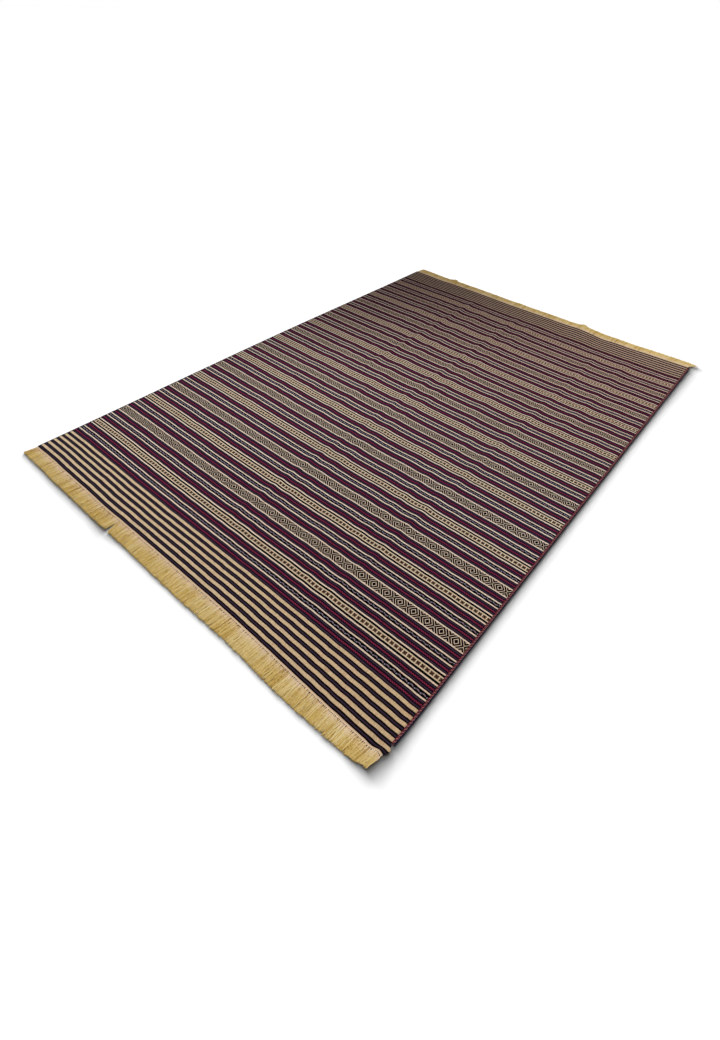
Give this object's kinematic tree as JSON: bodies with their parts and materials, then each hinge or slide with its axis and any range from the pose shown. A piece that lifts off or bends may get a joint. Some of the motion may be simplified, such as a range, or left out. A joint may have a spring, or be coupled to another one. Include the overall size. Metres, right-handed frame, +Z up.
{
  "type": "kilim",
  "caption": "Flat-woven kilim lying open on the floor, with cross bands, faint fold lines, yarn fringes at both ends and an overcast and corded side.",
  "frame": {"origin": "middle of the footprint, on the floor", "axes": "+X across the kilim along its bands, towards the corded side; +Y along its length, towards the far fringe; +Z up"},
  "size_m": [2.0505, 3.1013, 0.0106],
  "materials": {
    "woven_wool": "weft-faced flat weave, navy, crimson and beige bands",
    "fringe_yarn": "loosely spun gold yarn",
    "overcast_yarn": "close navy wool overcast stitches",
    "cord_yarn": "two-ply twisted cord, one ply salmon red and one navy"
  },
  "bodies": {
    "root": {"woven_cloth": "woven_wool", "near_fringe": "fringe_yarn", "far_fringe": "fringe_yarn", "right_overcast": "overcast_yarn", "right_cord": "cord_yarn", "left_overcast": "overcast_yarn"}
  },
  "joints": []
}
